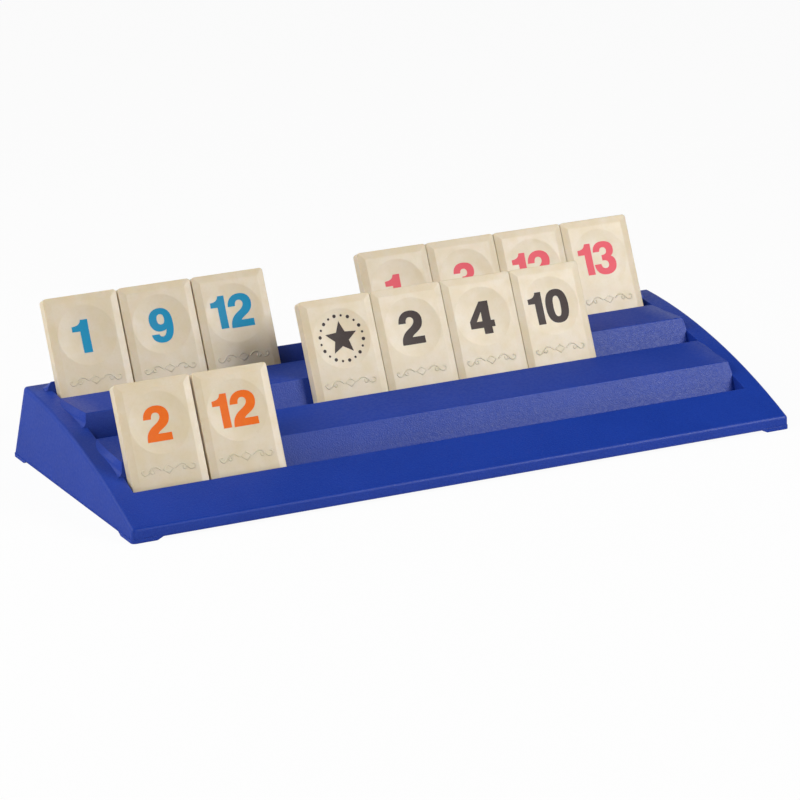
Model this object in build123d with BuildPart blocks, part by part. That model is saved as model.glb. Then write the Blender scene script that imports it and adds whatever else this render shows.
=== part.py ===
from build123d import *

import os
from math import cos, radians, sin, sqrt, tan

# Three-tier rack for rummy tiles, with thirteen tiles standing in its slots.
#
# The rack is one thin-walled moulding, open underneath. Its crowned top falls from the back
# to the front and carries three slots that lean back. Behind each slot the wall rises above
# the crown as a lip, and a ledge runs from that lip to the next slot. The tiles are thick
# rectangular counters with a shallow bevel round the face and a round dish for the number.
#
# Millimetres. X runs along the rack, +Y to its back and +Z up. The origin is on the surface
# the rack stands on, under the middle of its base.

# ---- rack: outside ----
rack_length = 244.6
rack_depth = 116.5  # over everything
front_edge_height = 4.6  # sharp, before rounding
back_edge_height = 28.8  # sharp, before rounding
back_wall_lean = 29.0  # degrees from upright, forwards going up
crown_radius = 282.0  # of the arched top
edge_round = 1.3
wall = 2.0
rim_height = 1.3  # a low rim runs round the foot of the walls
rim_proud = 0.2  # beyond the walls

# ---- rack: feet at the four corners, left standing where the walls' lower edge is relieved ----
foot_height = 1.05
foot_run_x = 8.8  # along the front and the back
foot_run_y = 10.6  # along the ends
foot_slope = 2.2  # length of each foot's sloping end

# ---- slots, named after the tier they serve ----
lean = 22.8  # degrees from upright, of the tiles and of the slots' rear walls
slot_end_margin = 7.75  # from the rack's ends to the slots
front_slot_inset = 17.4  # from the rack's front to the front edge of the front slot
back_slot_inset = 32.3  # from the rack's back to the front edge of the back slot
middle_slot_shift = -0.5  # of the middle slot, from halfway between the other two
front_slot_drop = 2.2  # from that edge to the floor, along the lean
middle_slot_drop = 2.8
back_slot_drop = 3.3
front_lip_rise = 4.85  # of the rear lip above the crown, along the lean
middle_lip_rise = 4.9
back_lip_rise = 3.25
lip_inset = 0.6  # the lip is this much shorter at its top, at each end
lip_round = 0.4  # front edge of the lip's top
lip_flare = 2.6  # hollow curve from a lip's end down to the crown
ledge_spread = 4.0  # the ledge's ends ease out by this much towards its back
ledge_fade = 0.6  # and are only this high at its back
back_ledge_margin = 3.0  # crown left between the last ledge and the back edge

# ---- tiles ----
tile_width = 26.8
tile_height = 38.2
tile_thickness = 4.8
tile_corner = 1.2  # corners of the outline
tile_front_break = 0.35  # broken edges
tile_back_break = 0.5
bevel_width = 2.6
bevel_depth = 0.5
dish_diameter = 21.0
dish_depth = 0.6
dish_below_top = 14.5  # centre of the dish

# ---- fits ----
front_clearance = 1.0  # between a tile's lower edge and the slot's front wall
back_clearance = 0.05  # between a tile and the rear wall it leans on
seat_clearance = 0.05  # between a tile and the slot's floor

# ---- runs of tiles: their places in the slots, and the gaps between neighbours ----
blue_run_inset = 1.15  # from the slot's left end
blue_gap = 0.6
red_run_inset = 1.95  # from the slot's right end
red_gap = 0.2
black_run_shift = 21.0  # of the run's middle, from the rack's
black_gap = 0.2
orange_run_inset = 0.85  # from the slot's left end
orange_gap = 0.9

# ---- what follows from the sizes above, as points (y, z) across the rack ----
up = (sin(radians(lean)), cos(radians(lean)))  # along a leaning tile
behind = (cos(radians(lean)), -sin(radians(lean)))  # square to it, towards the back

# The walls stand on the rim, set back from its outside.
half_length = rack_length / 2 - rim_proud
half_depth = rack_depth / 2 - rim_proud

# The front edges of the slots.
slot_length = rack_length - 2 * slot_end_margin
front_slot_y = front_slot_inset - rack_depth / 2
back_slot_y = rack_depth / 2 - back_slot_inset
middle_slot_y = (front_slot_y + back_slot_y) / 2 + middle_slot_shift


def on_back_wall(z):
    """The point of the back wall at a height."""
    return (half_depth - (z - rim_height) * tan(radians(back_wall_lean)), z)


front_edge = (-half_depth, front_edge_height)
back_edge = on_back_wall(back_edge_height)

chord_y = back_edge[0] - front_edge[0]
chord_z = back_edge[1] - front_edge[1]
chord = sqrt(chord_y**2 + chord_z**2)
crown_depth = sqrt(crown_radius**2 - (chord / 2) ** 2)  # from the chord to the crown's centre
crown_centre = (
    (front_edge[0] + back_edge[0]) / 2 + crown_depth * chord_z / chord,
    (front_edge[1] + back_edge[1]) / 2 - crown_depth * chord_y / chord,
)


def along(start, direction, distance):
    """The point at a distance from start."""
    return (start[0] + direction[0] * distance, start[1] + direction[1] * distance)


def on_crown(y):
    """The point of the crown at y."""
    return (y, crown_centre[1] + sqrt(crown_radius**2 - (y - crown_centre[0]) ** 2))


def to_crown(start):
    """How far a point below the crown is from it, along the lean."""
    dy = start[0] - crown_centre[0]
    dz = start[1] - crown_centre[1]
    half_b = dy * up[0] + dz * up[1]
    return sqrt(half_b**2 - dy**2 - dz**2 + crown_radius**2) - half_b


def relief(half_run):
    """The gap under the walls between two feet, each with a sloping end."""
    top = half_run - foot_slope
    Polygon(
        (-half_run, 0), (half_run, 0), (top, foot_height), (-top, foot_height), align=None
    )


class Tier:
    """One slot, the lip behind it and the ledge from that lip to the next slot."""

    def __init__(self, edge_y, drop, rise, ledge_end):
        self.edge = on_crown(edge_y)
        setback = drop * tan(radians(lean)) + front_clearance  # of the tiles from the edge
        width = setback + tile_thickness + back_clearance
        self.floor_front = (edge_y, self.edge[1] - drop / up[1])
        self.floor_back = along(along(self.edge, behind, width), up, -drop)
        self.crossing = along(self.floor_back, up, to_crown(self.floor_back))
        self.lip = along(self.crossing, up, rise)
        self.seat = along(along(self.edge, behind, setback), up, seat_clearance - drop)
        self.ledge_end = ledge_end


back_ledge_end = on_crown(back_edge[0] - back_ledge_margin)
back_tier = Tier(back_slot_y, back_slot_drop, back_lip_rise, back_ledge_end)
middle_tier = Tier(middle_slot_y, middle_slot_drop, middle_lip_rise, back_tier.edge)
front_tier = Tier(front_slot_y, front_slot_drop, front_lip_rise, middle_tier.edge)
tiers = [front_tier, middle_tier, back_tier]


def crowned_face(bottom):
    """The rack's section without its slots, down to a height."""
    with BuildLine() as outline:
        crown = RadiusArc(front_edge, back_edge, crown_radius)
        Polyline(crown @ 1, on_back_wall(bottom), (front_edge[0], bottom), crown @ 0)
    make_face(outline.edges())


def slot_face(tier, mode=Mode.ADD):
    """A slot's section, open above its lips."""
    top_back = along(tier.lip, up, tile_height)
    top_front = (tier.edge[0], top_back[1])
    Polygon(tier.floor_front, tier.floor_back, top_back, top_front, align=None, mode=mode)


def ledge_face(tier, sink):
    """A ledge's section, sunk below the crown."""
    end = tier.ledge_end
    foot = along(tier.crossing, up, -sink)
    with BuildLine() as outline:
        Polyline(foot, tier.lip, end, (end[0], end[1] - sink), close=True)
        fillet(outline.vertices().sort_by_distance(tier.lip)[0], lip_round)
    make_face(outline.edges())


def ledge_end_face(rise, spread, bottom):
    """A ledge across its run, flaring into the crown. Its sides run on above its top at 0."""
    half_lip = slot_length / 2
    half_foot = half_lip + spread
    half_top = half_foot - (lip_inset + spread) * 2
    shoulder = half_lip + ledge_spread + lip_flare / 2
    with BuildLine() as outline:
        Polyline(
            (-shoulder, bottom),
            (-shoulder, -rise),
            (-half_foot, -rise),
            (-half_top, rise),
            (half_top, rise),
            (half_foot, -rise),
            (shoulder, -rise),
            (shoulder, bottom),
            close=True,
        )
    face = make_face(outline.edges())
    for side in (-1, 1):
        fillet(face.vertices().sort_by_distance((side * half_foot, -rise))[0], lip_flare)


def make_ledge(tier):
    """The ledge from a lip to the next slot. Its ends ease down to the crown behind the lip."""
    lip = Vector(0, *tier.lip)
    end = Vector(0, *tier.ledge_end)
    foot = Vector(0, *tier.crossing) - lip
    back = (end - lip).normalized()
    length = (end - lip).length
    rise = foot.cross(back).length
    fall = (rise - ledge_fade) / (length + wall - foot.dot(back))
    with BuildPart() as ledge:
        with BuildSketch(Plane.YZ):
            ledge_face(tier, 2 * wall)
        extrude(amount=rack_length / 2, both=True)
        for place, spread in ((-2 * wall, 0), (length + wall, ledge_spread)):
            with BuildSketch(Plane(lip + back * place, x_dir=(1, 0, 0), z_dir=-back)):
                ledge_end_face(rise - fall * (place - foot.dot(back)), spread, -rise - 2 * wall)
        loft(ruled=True, mode=Mode.INTERSECT)
    return ledge


ledges = [make_ledge(tier) for tier in tiers]

# The moulding's core: the space under the top, open below.
core_bottom = -2 * wall
with BuildPart() as core:
    with BuildSketch(Plane.YZ):
        crowned_face(core_bottom)
        offset(amount=-wall)
    extrude(amount=half_length - wall, both=True)
    with BuildSketch(Plane.YZ):
        for tier in tiers:
            slot_face(tier)
        offset(amount=wall, kind=Kind.INTERSECTION)
    extrude(amount=slot_length / 2 + wall, both=True, mode=Mode.SUBTRACT)
    with BuildSketch(Plane.YZ):
        crowned_face(core_bottom)
        for tier in tiers:
            ledge_face(tier, wall)
            slot_face(tier, mode=Mode.SUBTRACT)
        offset(amount=-wall)
    extrude(amount=slot_length / 2 - wall, both=True)

with BuildPart() as rack:
    with BuildSketch(Plane.YZ):
        crowned_face(rim_height)
    extrude(amount=half_length, both=True)
    fillet(rack.edges() - rack.edges().group_by(Axis.Z)[0], edge_round)
    with BuildSketch(Plane.XY):
        RectangleRounded(rack_length, rack_depth, edge_round + rim_proud)
    extrude(amount=rim_height)

    for ledge in ledges:
        add(ledge.part)

    with BuildSketch(Plane.YZ):
        for tier in tiers:
            slot_face(tier)
    extrude(amount=slot_length / 2, both=True, mode=Mode.SUBTRACT)
    add(core.part, mode=Mode.SUBTRACT)

    # The walls' lower edge is relieved between the feet.
    with BuildSketch(Plane.XZ):
        relief(rack_length / 2 - foot_run_x)
    extrude(amount=rack_depth, both=True, mode=Mode.SUBTRACT)
    with BuildSketch(Plane.YZ):
        relief(rack_depth / 2 - foot_run_y)
    extrude(amount=rack_length, both=True, mode=Mode.SUBTRACT)
rack.part.label = "rack"


def make_tile(left_x, tier):
    """A tile standing in a tier's slot, by its left edge."""
    middle = along(tier.seat, up, tile_height / 2)
    toward = Axis((0, middle[0], middle[1]), (0, -behind[0], -behind[1]))
    face = Plane(
        origin=(left_x + tile_width / 2, middle[0], middle[1]),
        x_dir=(1, 0, 0),
        z_dir=toward.direction,
    )
    dish_radius = ((dish_diameter / 2) ** 2 + dish_depth**2) / (2 * dish_depth)
    dish_centre = (0, tile_height / 2 - dish_below_top, dish_radius - dish_depth)
    with BuildPart() as counter:
        with BuildSketch(face):
            RectangleRounded(tile_width, tile_height, tile_corner)
        extrude(amount=-tile_thickness)
        chamfer(counter.edges().group_by(toward)[-1], tile_front_break)
        chamfer(counter.edges().group_by(toward)[0], tile_back_break)
    with BuildPart() as tile:
        with BuildSketch(face):
            Rectangle(tile_width, tile_height)
        extrude(amount=-tile_thickness)
        front = tile.faces().sort_by(toward)[-1]
        chamfer(front.edges(), length=bevel_width, length2=bevel_depth, reference=front)
        add(counter.part, mode=Mode.INTERSECT)
        with Locations(face.from_local_coords(dish_centre)):
            Sphere(dish_radius, mode=Mode.SUBTRACT)
    return tile


def run_length(count, gap):
    """The length of a run of tiles."""
    return count * tile_width + (count - 1) * gap


slot_end = slot_length / 2
red_run_x = slot_end - red_run_inset - run_length(4, red_gap)
black_run_x = black_run_shift - run_length(4, black_gap) / 2
runs = [
    (back_tier, blue_run_inset - slot_end, blue_gap, ["blue_1", "blue_9", "blue_12"]),
    (back_tier, red_run_x, red_gap, ["red_1", "red_3", "red_12", "red_13"]),
    (middle_tier, black_run_x, black_gap, ["joker", "black_2", "black_4", "black_10"]),
    (front_tier, orange_run_inset - slot_end, orange_gap, ["orange_2", "orange_12"]),
]

os.makedirs("parts", exist_ok=True)
export_step(rack.part, "parts/rack.step")
for tier, run_x, gap, names in runs:
    for place, name in enumerate(names):
        tile = make_tile(run_x + place * (tile_width + gap), tier)
        tile.part.label = "tile_" + name
        export_step(tile.part, "parts/" + tile.part.label + ".step")
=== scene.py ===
"""A three-tier rack with its rummy tiles, dressed for rendering, in the model's own frame.

Blender works in metres. The numbers below are millimetres unless they say otherwise."""

import math

import bmesh
import bpy
from mathutils import Matrix, Vector

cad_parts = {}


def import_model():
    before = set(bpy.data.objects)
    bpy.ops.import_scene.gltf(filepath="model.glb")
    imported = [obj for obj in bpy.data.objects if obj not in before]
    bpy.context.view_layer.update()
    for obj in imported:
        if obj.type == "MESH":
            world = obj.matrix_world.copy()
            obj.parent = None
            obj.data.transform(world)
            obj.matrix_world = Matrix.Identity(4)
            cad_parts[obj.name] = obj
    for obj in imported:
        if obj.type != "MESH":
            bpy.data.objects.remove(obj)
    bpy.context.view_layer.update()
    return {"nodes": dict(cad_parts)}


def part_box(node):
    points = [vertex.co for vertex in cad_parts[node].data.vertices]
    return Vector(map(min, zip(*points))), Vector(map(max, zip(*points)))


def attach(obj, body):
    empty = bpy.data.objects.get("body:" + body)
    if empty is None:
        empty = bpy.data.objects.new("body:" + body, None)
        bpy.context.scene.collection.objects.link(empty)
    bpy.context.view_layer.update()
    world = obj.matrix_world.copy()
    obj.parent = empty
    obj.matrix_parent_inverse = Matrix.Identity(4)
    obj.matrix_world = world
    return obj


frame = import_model()
MM = 0.001

# ---- tiles, as the model has them ----
LEAN = math.radians(22.8)
TILE_WIDTH = 26.8
TILE_HEIGHT = 38.2
DISH_DIAMETER = 21.0
DISH_DEPTH = 0.6
DISH_BELOW_TOP = 14.5
# Where each tier's tiles stand: the depth and height of their bottom front edge.
SEATS = {"front": (-39.909, 8.892), "middle": (-7.009, 18.187), "back": (26.891, 23.518)}
DISH_RADIUS = ((DISH_DIAMETER / 2) ** 2 + DISH_DEPTH**2) / (2 * DISH_DEPTH)
UP = Vector((0, math.sin(LEAN), math.cos(LEAN)))
BEHIND = Vector((0, math.cos(LEAN), -math.sin(LEAN)))

# ---- numerals: outlines in millimetres from the left end of the base line, Y up ----
# M and L take a point, C a cubic curve's two handles and end, Z closes the outline.
DIGITS = {
    "0": """M 8.7,5.85 C 8.7,9.8 7.3,11.95 4.35,11.95 C 1.4,11.95 0,9.8 0,5.85
        C 0,1.9 1.4,-0.25 4.35,-0.25 C 7.3,-0.25 8.7,1.9 8.7,5.85 Z
        M 5.75,5.8 C 5.75,8.4 5.35,9.5 4.35,9.5 C 3.35,9.5 2.95,8.4 2.95,5.8
        C 2.95,3.2 3.35,2.1 4.35,2.1 C 5.35,2.1 5.75,3.2 5.75,5.8 Z""",
    "1": """M 5.6,0 L 2.65,0 L 2.65,7.65 L 0,7.65 L 0,9.5
        C 1.9,9.6 3.0,10.2 3.2,11.65 L 5.6,11.65 Z""",
    "2": """M 0.2,0 L 9.0,0 L 9.0,2.55 L 4.4,2.55 C 4.75,3.15 5.6,3.6 6.6,4.25
        C 8.1,5.2 9.05,6.3 9.05,8.3 C 9.05,10.5 7.3,11.95 4.75,11.95 C 2.0,11.95 0.15,10.3 0.05,7.6
        L 2.85,7.6 C 2.9,8.9 3.4,9.65 4.4,9.65 C 5.25,9.65 5.85,9.1 5.85,8.3
        C 5.85,7.3 5.0,6.5 3.6,5.6 C 1.5,4.3 0.2,2.9 0.2,0 Z""",
    "3": """M 4.25,12.1 C 6.9,12.1 8.4,10.9 8.4,8.9 C 8.4,7.8 8.0,6.9 7.1,6.4
        C 8.2,5.9 8.7,4.9 8.7,3.7 C 8.7,1.3 7.0,-0.25 4.3,-0.25 C 1.6,-0.25 0,1.2 -0.05,3.85
        L 2.65,3.85 C 2.75,2.7 3.3,2.1 4.25,2.1 C 5.2,2.1 5.7,2.7 5.7,3.55
        C 5.7,4.6 5.0,5.05 3.9,5.05 L 3.4,5.05 L 3.4,7.1 L 3.9,7.1 C 5.0,7.1 5.6,7.6 5.6,8.5
        C 5.6,9.35 5.1,9.9 4.25,9.9 C 3.4,9.9 2.95,9.4 2.85,8.4 L 0.2,8.4
        C 0.3,10.8 1.8,12.1 4.25,12.1 Z""",
    "4": """M 4.9,0 L 8.15,0 L 8.15,2.35 L 9.45,2.35 L 9.45,4.7 L 8.15,4.7 L 8.15,11.75
        L 4.75,11.75 L 0,5.0 L 0,2.35 L 4.9,2.35 Z M 4.9,4.7 L 2.7,4.7 L 4.9,8.1 Z""",
    "9": """M 4.3,11.95 C 7.2,11.95 8.65,10.0 8.65,6.4 C 8.65,2.0 7.2,-0.25 4.0,-0.25
        C 1.7,-0.25 0.25,1.0 0.15,2.9 L 2.95,2.9 C 3.1,2.3 3.5,1.95 4.1,1.95
        C 5.0,1.95 5.6,2.7 5.85,4.35 C 5.3,3.95 4.5,3.75 3.7,3.75 C 1.5,3.75 0,5.5 0,7.9
        C 0,10.3 1.7,11.95 4.3,11.95 Z
        M 5.7,8.0 C 5.7,9.2 5.2,9.8 4.35,9.8 C 3.5,9.8 3.0,9.2 3.0,8.0
        C 3.0,6.8 3.5,6.2 4.35,6.2 C 5.2,6.2 5.7,6.8 5.7,8.0 Z""",
}

# Each tile's tier, ink and digits. A digit has its left end and base line, from the tile's top
# left corner, and how much wider than its outline it is printed.
TILES = {
    "tile_blue_1": ("back", "print_blue", [("1", 8.4, 20.5, 1.09)]),
    "tile_blue_9": ("back", "print_blue", [("9", 9.05, 20.8, 1.0)]),
    "tile_blue_12": ("back", "print_blue", [("1", 4.9, 19.5, 1.0), ("2", 11.4, 19.75, 0.97)]),
    "tile_red_1": ("back", "print_red", [("1", 8.5, 21.1, 1.07)]),
    "tile_red_3": ("back", "print_red", [("3", 8.3, 21.0, 1.0)]),
    "tile_red_12": ("back", "print_red", [("1", 5.0, 20.3, 1.0), ("2", 11.3, 20.5, 0.97)]),
    "tile_red_13": ("back", "print_red", [("1", 4.65, 20.55, 1.0), ("3", 10.75, 20.8, 1.0)]),
    "tile_joker": ("middle", "print_black", []),
    "tile_black_2": ("middle", "print_black", [("2", 8.35, 20.5, 1.0)]),
    "tile_black_4": ("middle", "print_black", [("4", 8.25, 20.95, 1.0)]),
    "tile_black_10": ("middle", "print_black", [("1", 4.65, 20.8, 1.0), ("0", 11.4, 20.8, 1.0)]),
    "tile_orange_2": ("front", "print_orange", [("2", 8.05, 20.65, 1.01)]),
    "tile_orange_12": ("front", "print_orange", [("1", 4.95, 20.0, 1.0), ("2", 11.25, 20.1, 1.0)]),
}
INK_HEIGHT = 0.025
PRINT_STEP = 0.9  # longest edge of a print's mesh, so that it follows the dish
STAR_TIPS = 5
STAR_POINT, STAR_NOTCH = 6.1, 2.75  # radii of the joker's star
DOT_RING, DOTS = 8.0, 20  # radius of the ring round it, and its dots
LARGE_DOT, SMALL_DOT = 0.62, 0.42  # their radii, by turns
RELIEF_TOP = 30.1  # the moulded ornament's middle, below the tile's top edge
RELIEF_ROUND = 0.3  # radius of its lines
RELIEF_SINK = 0.12  # how deep their middles lie in the face
# One side of the ornament, from its middle: a scroll and its tail. Then the lozenge's half sizes.
SCROLL = [(2.6, 0.0), (3.6, 1.1), (5.4, 1.3), (6.6, 0.1), (6.0, -0.9), (5.0, -0.5), (5.3, 0.3)]
TAIL = [(6.6, 0.1), (7.4, -1.0), (8.7, -1.1), (9.5, -0.1), (9.1, 0.7), (8.4, 0.5)]
LOZENGE = (1.9, 1.35)

ROUND_HANDLE = 0.5523  # a curve handle's length for a quarter of a circle, in radii

# ---- the rack's finish ----
LEDGE_FADE = (105.0, 112.0)  # from the rack's middle, where the ledges' smoother tops end
LEDGE_FACING = (0.95, 0.985)  # how far up a face looks: from the crown's slope to a ledge's top
END_FACING = (0.6, 0.9)  # how far sideways a face looks: from the rounded edge to the end face
END_SHARE = 0.7  # the ends are this much as smooth as the ledges' tops

# ---- the studio ----
FLOOR_HALF = 3000.0
FLOOR_BELOW = 0.02  # keeps the floor clear of the feet's undersides
FLOOR_WHITE = 0.95  # how much of the floor the camera sees as plain white; the rest has the shadow
# What polished surfaces mirror: a white cove, and the darker ceiling that it turns into over this
# range of the view's upward part.
COVE_LIGHT, CEILING_LIGHT = 0.5, 0.06
COVE_EDGE = (0.25, 0.5)
LAMP_AIM = Vector((0, 0, 20.0))
# Each lamp's azimuth, from the front to the right, and elevation in degrees, its distance, width
# and height, and its power in watts.
LAMPS = {
    "key": (40, 31, 850, 450, 450, 5.0),
    "fill_high": (-75, 50, 850, 500, 500, 1.8),
    "fill_low": (-85, 25, 850, 500, 500, 2.4),
    "side": (-120, 35, 850, 500, 500, 1.8),
    "cove": (170, 14, 1100, 1400, 300, 0.45),
    "rear": (180, 55, 900, 600, 600, 0.5),
}

# ---- the camera, as fitted to the photograph: its place and its three directions ----
PHOTO_PIXELS = 800
FOCAL_PIXELS = 3655.94
CAMERA_PLACE = Vector((-501.297, -1115.744, 364.156))
CAMERA_RIGHT = Vector((0.906651, -0.420033, -0.039464))
CAMERA_DOWN = Vector((-0.149813, -0.233099, -0.960844))
CAMERA_FORWARD = Vector((0.394387, 0.877062, -0.274266))


# ---------------------------------------------------------------- materials
def srgb(r, g, b):
    """A colour written as 0 to 255 in sRGB, for a node."""
    channels = [c / 255 for c in (r, g, b)]
    return [c / 12.92 if c <= 0.04045 else ((c + 0.055) / 1.055) ** 2.4 for c in channels] + [1.0]


class Nodes:
    """The node tree of a new material, or of the world, while it is being built."""

    def __init__(self, owner, shader="Principled BSDF"):
        owner.use_nodes = True
        self.owner = owner
        self.tree = owner.node_tree
        self.shader = self.tree.nodes[shader]
        self.coordinates = self.add("ShaderNodeTexCoord").outputs
        self.place = self.coordinates["Object"]

    def add(self, kind, links=(), **values):
        """A new node. Its inputs are given by name or number, as values or as links."""
        node = self.tree.nodes.new(kind)
        for name, value in values.items():
            setattr(node, name, value)
        for name, value in dict(links).items():
            if isinstance(value, bpy.types.NodeSocket):
                self.tree.links.new(value, node.inputs[name])
            else:
                node.inputs[name].default_value = value
        return node

    def noise(self, size, detail=2.0, roughness=0.5):
        """Noise whose features are about size millimetres across."""
        links = {
            "Vector": self.place,
            "Scale": 1 / (size * MM),
            "Detail": detail,
            "Roughness": roughness,
        }
        return self.add("ShaderNodeTexNoise", links).outputs["Fac"]

    def math(self, operation, *values):
        """One step of arithmetic."""
        return self.add("ShaderNodeMath", enumerate(values), operation=operation).outputs[0]

    def split(self, vector):
        """A vector's X, Y and Z."""
        return self.add("ShaderNodeSeparateXYZ", {0: vector}).outputs

    def remap(self, value, low, high, to_low, to_high):
        """A value carried from one range to another, and held within it."""
        links = {
            "Value": value,
            "From Min": low,
            "From Max": high,
            "To Min": to_low,
            "To Max": to_high,
        }
        return self.add("ShaderNodeMapRange", links).outputs["Result"]

    def blend(self, factor, first, second):
        """Two colours mixed by a factor."""
        node = self.add("ShaderNodeMix", {0: factor, 6: first, 7: second}, data_type="RGBA")
        return node.outputs[2]

    def bump(self, height, strength, distance, edge, samples):
        """The normal of a face with small relief, and with edges that look rounded."""
        soft = self.add("ShaderNodeBevel", {"Radius": edge * MM}, samples=samples).outputs[0]
        links = {"Strength": strength, "Distance": distance * MM, "Height": height, "Normal": soft}
        return self.add("ShaderNodeBump", links).outputs[0]

    def surface(self, **values):
        """Sets the shader's inputs, by value or by link."""
        for name, value in values.items():
            socket = self.shader.inputs[name.replace("_", " ")]
            if isinstance(value, bpy.types.NodeSocket):
                self.tree.links.new(value, socket)
            else:
                socket.default_value = value


def smooth_faces(n):
    """One on the ledges' tops, which are smoother and more matt, and nearly so on the ends."""
    facing = n.split(n.coordinates["Normal"])
    along = n.math("ABSOLUTE", n.split(n.place)["X"])
    between = n.remap(along, LEDGE_FADE[0] * MM, LEDGE_FADE[1] * MM, 1, 0)
    top = n.remap(facing["Z"], *LEDGE_FACING, 0, 1)
    end = n.remap(n.math("ABSOLUTE", facing["X"]), *END_FACING, 0, END_SHARE)
    return n.math("MAXIMUM", n.math("MULTIPLY", top, between), end)


def rack_plastic():
    """Moulded blue plastic with a fine spark-eroded grain."""
    n = Nodes(bpy.data.materials.new("rack_plastic"))
    smooth = smooth_faces(n)
    grain = n.noise(0.42, detail=1.5, roughness=0.6)
    pits = n.noise(1.1)
    cloud = n.noise(18)
    tone = n.blend(n.remap(cloud, 0.35, 0.65, 0, 1), srgb(21, 57, 155), srgb(24, 60, 160))
    tone = n.blend(n.remap(grain, 0.5, 0.75, 0, 0.4), tone, srgb(38, 75, 172))
    tone = n.blend(n.remap(grain, 0.5, 0.25, 0, 0.4), tone, srgb(10, 39, 141))
    rough = n.math("ADD", n.remap(pits, 0.3, 0.7, 0.34, 0.46), n.remap(smooth, 0, 1, 0, 0.24))
    relief = n.bump(grain, n.remap(smooth, 0, 1, 0.9, 0.3), 0.1, edge=0.2, samples=6)
    n.surface(Base_Color=tone, Roughness=rough, Normal=relief, Specular_IOR_Level=0.3)
    return n.owner


def tile_plastic():
    """Cream moulded plastic, softly polished, faintly mottled."""
    n = Nodes(bpy.data.materials.new("tile_plastic"))
    cloud = n.noise(6)
    fleck = n.noise(0.9)
    tone = n.blend(n.remap(cloud, 0.35, 0.65, 0, 1), srgb(228, 213, 187), srgb(225, 208, 175))
    tone = n.blend(n.remap(fleck, 0.5, 0.8, 0, 0.3), tone, srgb(216, 199, 158))
    rough = n.remap(n.noise(3, detail=3.0), 0.3, 0.7, 0.3, 0.4)
    relief = n.bump(n.noise(0.7, detail=3.0), 0.3, 0.03, edge=0.4, samples=8)
    n.surface(Base_Color=tone, Roughness=rough, Normal=relief, Specular_IOR_Level=0.5)
    n.surface(Subsurface_Weight=0.3, Subsurface_Scale=1.5 * MM)
    n.surface(Subsurface_Radius=(1.0, 0.65, 0.35))
    return n.owner


def ink(name, colour, worn):
    """Stamped ink: nearly even, slightly thin in places, with a soft gloss."""
    n = Nodes(bpy.data.materials.new(name))
    patch = n.noise(2.2, detail=4.0, roughness=0.6)
    grain = n.noise(0.35)
    tone = n.blend(n.remap(patch, 0.5, 0.8, 0, 0.6), colour, worn)
    tone = n.blend(n.remap(grain, 0.55, 0.8, 0, 0.2), tone, worn)
    links = {"Strength": 0.2, "Distance": 0.02 * MM, "Height": patch}
    relief = n.add("ShaderNodeBump", links).outputs[0]
    n.surface(Base_Color=tone, Roughness=n.remap(patch, 0.3, 0.7, 0.4, 0.55), Normal=relief)
    n.surface(Specular_IOR_Level=0.22)
    return n.owner


materials = {
    "rack_plastic": rack_plastic(),
    "tile_plastic": tile_plastic(),
    "print_blue": ink("print_blue", srgb(0, 144, 187), srgb(20, 152, 193)),
    "print_orange": ink("print_orange", srgb(242, 108, 8), srgb(242, 124, 34)),
    "print_black": ink("print_black", srgb(60, 48, 45), srgb(80, 66, 62)),
    "print_red": ink("print_red", srgb(242, 94, 107), srgb(240, 108, 118)),
}

for name, node in frame["nodes"].items():
    node.data.materials.clear()
    node.data.materials.append(materials["rack_plastic" if name == "rack" else "tile_plastic"])


# ---------------------------------------------------------------- prints and reliefs on the tiles
def link(name, data):
    """A new object in the scene."""
    thing = bpy.data.objects.new(name, data)
    bpy.context.scene.collection.objects.link(thing)
    return thing


def outlines(path, left, base, widen):
    """A digit's outlines as lists of (point, handle before, handle after), in the tile's face."""

    def place(word):
        x, y = (float(v) for v in word.split(","))
        return Vector((left + x * widen, y - base, 0))

    rings = []
    words = path.split()
    while words:
        order = words.pop(0)
        if order == "M":
            point = place(words.pop(0))
            rings.append([[point, point, point]])
        elif order == "L":
            point = place(words.pop(0))
            last = rings[-1][-1]
            last[2] = last[0].lerp(point, 1 / 3)
            rings[-1].append([point, point.lerp(last[0], 1 / 3), point])
        elif order == "C":
            rings[-1][-1][2] = place(words.pop(0))
            before = place(words.pop(0))
            point = place(words.pop(0))
            rings[-1].append([point, before, point])
        else:
            first, last = rings[-1][0], rings[-1][-1]
            if (first[0] - last[0]).length < 1e-6:
                first[1] = last[1]
                rings[-1].pop()
            else:
                last[2] = last[0].lerp(first[0], 1 / 3)
                first[1] = first[0].lerp(last[0], 1 / 3)
    return rings


def curve_mesh(curve):
    """A curve datablock's mesh."""
    holder = bpy.data.objects.new("outline", curve)
    mesh = bpy.data.meshes.new_from_object(holder)
    bpy.data.objects.remove(holder)
    bpy.data.curves.remove(curve)
    return mesh


def filled(rings, height):
    """Closed outlines as a flat plate of twice that height."""
    curve = bpy.data.curves.new("outline", "CURVE")
    curve.dimensions = "2D"
    curve.fill_mode = "BOTH"
    curve.extrude = height
    curve.resolution_u = 14
    for ring in rings:
        spline = curve.splines.new("BEZIER")
        spline.bezier_points.add(len(ring) - 1)
        spline.use_cyclic_u = True
        for knot, (point, before, after) in zip(spline.bezier_points, ring):
            knot.co, knot.handle_left, knot.handle_right = point, before, after
    return curve_mesh(curve)


def finer(mesh, longest, rounds=6, weld=1e-4):
    """Halves a plate's long edges, in at most so many rounds, so that it can follow the dish."""
    work = bmesh.new()
    work.from_mesh(mesh)
    bmesh.ops.remove_doubles(work, verts=work.verts, dist=weld)
    bmesh.ops.triangulate(work, faces=work.faces)
    for _ in range(rounds):
        long_edges = [e for e in work.edges if e.calc_length() > longest]
        if not long_edges:
            break
        bmesh.ops.subdivide_edges(work, edges=long_edges, cuts=1)
        bmesh.ops.triangulate(work, faces=work.faces)
    work.to_mesh(mesh)
    work.free()


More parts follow.
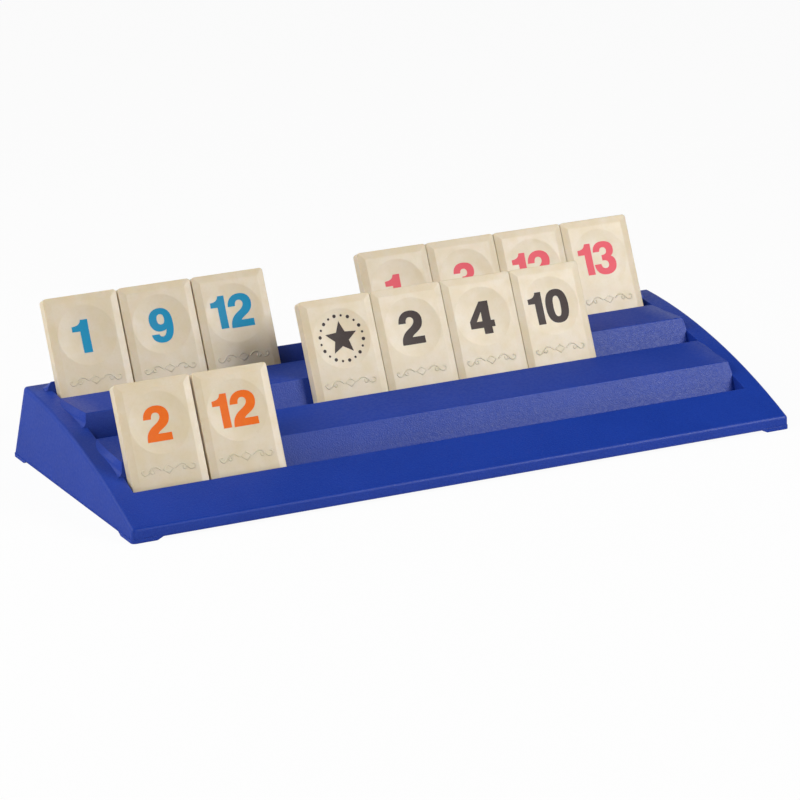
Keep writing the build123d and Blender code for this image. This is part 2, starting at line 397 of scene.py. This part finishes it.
def dish_depth(x, y):
    """How far the face lies below the tile's front plane, from the tile's top left corner."""
    r = math.hypot(x - TILE_WIDTH / 2, y + DISH_BELOW_TOP)
    if r >= DISH_DIAMETER / 2:
        return 0.0
    return DISH_DEPTH - DISH_RADIUS + math.sqrt(DISH_RADIUS**2 - r**2)


def on_face(mesh, tile, tier):
    """Moves a mesh from millimetres in the tile's face onto the tile."""
    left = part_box(tile)[0][0] / MM
    seat = Vector((0, *SEATS[tier]))
    top = seat + UP * TILE_HEIGHT
    for vertex in mesh.vertices:
        x, y, height = vertex.co
        depth = dish_depth(x, y) - height
        place = Vector((left + x, 0, 0)) + top + UP * y + BEHIND * depth
        vertex.co = place * MM
    mesh.update()


def piece(name, mesh, body, slot, smooth=False):
    """A finished piece in the scene, riding on a body."""
    mesh.name = name
    mesh.materials.clear()
    mesh.materials.append(materials[slot])
    for face in mesh.polygons:
        face.use_smooth = smooth
    thing = link(name, mesh)
    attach(thing, body)


def ring_of(points):
    """A straight-sided outline through points."""
    ring = []
    for i, point in enumerate(points):
        before, after = points[i - 1], points[(i + 1) % len(points)]
        ring.append([point, point.lerp(before, 1 / 3), point.lerp(after, 1 / 3)])
    return ring


def circle_at(x, y, r):
    """A round outline."""
    k = r * ROUND_HANDLE
    corners = [((r, 0), (0, 1)), ((0, r), (-1, 0)), ((-r, 0), (0, -1)), ((0, -r), (1, 0))]
    ring = []
    for (px, py), (dx, dy) in corners:
        point = Vector((x + px, y + py, 0))
        turn = Vector((dx, dy, 0)) * k
        ring.append([point, point - turn, point + turn])
    return ring


def star_outlines():
    """The joker's mark: a star in a ring of dots."""
    x, y = TILE_WIDTH / 2, -DISH_BELOW_TOP
    points = []
    for i in range(2 * STAR_TIPS):
        r = STAR_NOTCH if i % 2 else STAR_POINT
        a = math.pi / 2 + i * math.pi / STAR_TIPS
        points.append(Vector((x + r * math.cos(a), y + r * math.sin(a), 0)))
    rings = [ring_of(points)]
    for i in range(DOTS):
        a = math.pi / 2 + (i + 0.5) * math.tau / DOTS
        dot = SMALL_DOT if i % 2 else LARGE_DOT
        rings.append(circle_at(x + DOT_RING * math.cos(a), y + DOT_RING * math.sin(a), dot))
    return rings


def relief_mesh():
    """A small moulded ornament: a lozenge between two scrolls."""
    curve = bpy.data.curves.new("relief", "CURVE")
    curve.dimensions = "3D"
    curve.bevel_depth = RELIEF_ROUND
    curve.bevel_resolution = 2
    curve.resolution_u = 8
    middle = TILE_WIDTH / 2
    for side in (-1, 1):
        for line in (SCROLL, TAIL):
            spline = curve.splines.new("NURBS")
            spline.points.add(len(line) - 1)
            for knot, (x, y) in zip(spline.points, line):
                knot.co = (middle + side * x, y - RELIEF_TOP, -RELIEF_SINK, 1)
            spline.order_u = 3
            spline.use_endpoint_u = True
    across, up = LOZENGE
    spline = curve.splines.new("POLY")
    spline.points.add(3)
    for knot, (x, y) in zip(spline.points, [(across, 0), (0, up), (-across, 0), (0, -up)]):
        knot.co = (middle + x, y - RELIEF_TOP, -RELIEF_SINK, 1)
    spline.use_cyclic_u = True
    return curve_mesh(curve)


for tile, (tier, slot, digits) in TILES.items():
    rings, mark = [], "number"
    for digit, left, base, widen in digits:
        rings += outlines(DIGITS[digit], left, base, widen)
    if not digits:
        rings, mark = star_outlines(), "star"
    print_mesh = filled(rings, INK_HEIGHT)
    finer(print_mesh, PRINT_STEP)
    on_face(print_mesh, tile, tier)
    piece(tile.replace("tile", mark), print_mesh, tile, slot)
    relief = relief_mesh()
    on_face(relief, tile, tier)
    piece(tile.replace("tile", "relief"), relief, tile, "tile_plastic", smooth=True)


# ---------------------------------------------------------------- floor, light, camera
def floor():
    """A large pale floor that the camera sees as nearly white, with the rack's shadow on it."""
    mesh = bpy.data.meshes.new("floor")
    corners = [(-1, -1), (1, -1), (1, 1), (-1, 1)]
    places = [Vector((x * FLOOR_HALF, y * FLOOR_HALF, -FLOOR_BELOW)) * MM for x, y in corners]
    mesh.from_pydata(places, [], [(0, 1, 2, 3)])
    n = Nodes(bpy.data.materials.new("floor_paper"))
    tint = n.blend(n.noise(60), srgb(240, 240, 240), srgb(236, 236, 237))
    n.surface(Base_Color=tint, Roughness=0.9, Specular_IOR_Level=0.1)
    seen = n.add("ShaderNodeLightPath").outputs["Is Camera Ray"]
    white = n.add("ShaderNodeEmission", {"Color": (1, 1, 1, 1), "Strength": 1.0}).outputs[0]
    links = {0: n.math("MULTIPLY", seen, FLOOR_WHITE), 1: n.shader.outputs[0], 2: white}
    mixed = n.add("ShaderNodeMixShader", links).outputs[0]
    n.tree.links.new(mixed, n.tree.nodes["Material Output"].inputs["Surface"])
    mesh.materials.append(n.owner)
    plane = link("floor", mesh)


def softbox(name, azimuth, elevation, distance, width, height, power):
    """A rectangular lamp that faces the rack."""
    lamp = bpy.data.lights.new(name, "AREA")
    lamp.shape = "RECTANGLE"
    lamp.size, lamp.size_y = width * MM, height * MM
    lamp.energy = power
    across, over = math.radians(azimuth), math.radians(elevation)
    level = Vector((math.sin(across), -math.cos(across), 0)) * math.cos(over)
    holder = link(name, lamp)
    holder.location = (level + Vector((0, 0, math.sin(over)))) * distance * MM
    toward = LAMP_AIM * MM - holder.location
    holder.rotation_euler = toward.to_track_quat("-Z", "Y").to_euler()


def world():
    """White where the camera sees it. Mirrored and seen through, it is a cove under a darker
    ceiling. It lights nothing else."""
    bpy.context.scene.world = bpy.data.worlds.new("studio")
    n = Nodes(bpy.context.scene.world, "Background")
    path = n.add("ShaderNodeLightPath").outputs
    up = n.split(n.coordinates["Generated"])["Z"]
    cove = n.remap(up, *COVE_EDGE, COVE_LIGHT, CEILING_LIGHT)
    mirror = n.math("MAXIMUM", path["Is Glossy Ray"], path["Is Transmission Ray"])
    lit = n.math("MULTIPLY", mirror, cove)
    n.surface(Color=(1, 1, 1, 1), Strength=n.remap(path["Is Camera Ray"], 0, 1, lit, 1.0))


def view():
    """The camera."""
    camera = bpy.data.cameras.new("camera")
    camera.sensor_width = 36.0
    camera.lens = FOCAL_PIXELS * camera.sensor_width / PHOTO_PIXELS
    camera.clip_start, camera.clip_end = 0.05, 20.0  # metres
    holder = link("camera", camera)
    turn = Matrix((CAMERA_RIGHT, -CAMERA_DOWN, -CAMERA_FORWARD)).transposed().to_4x4()
    holder.matrix_world = Matrix.Translation(CAMERA_PLACE * MM) @ turn
    bpy.context.scene.camera = holder
    bpy.context.scene.view_settings.view_transform = "Standard"


floor()
world()
for name, lamp in LAMPS.items():
    softbox(name, *lamp)
view()
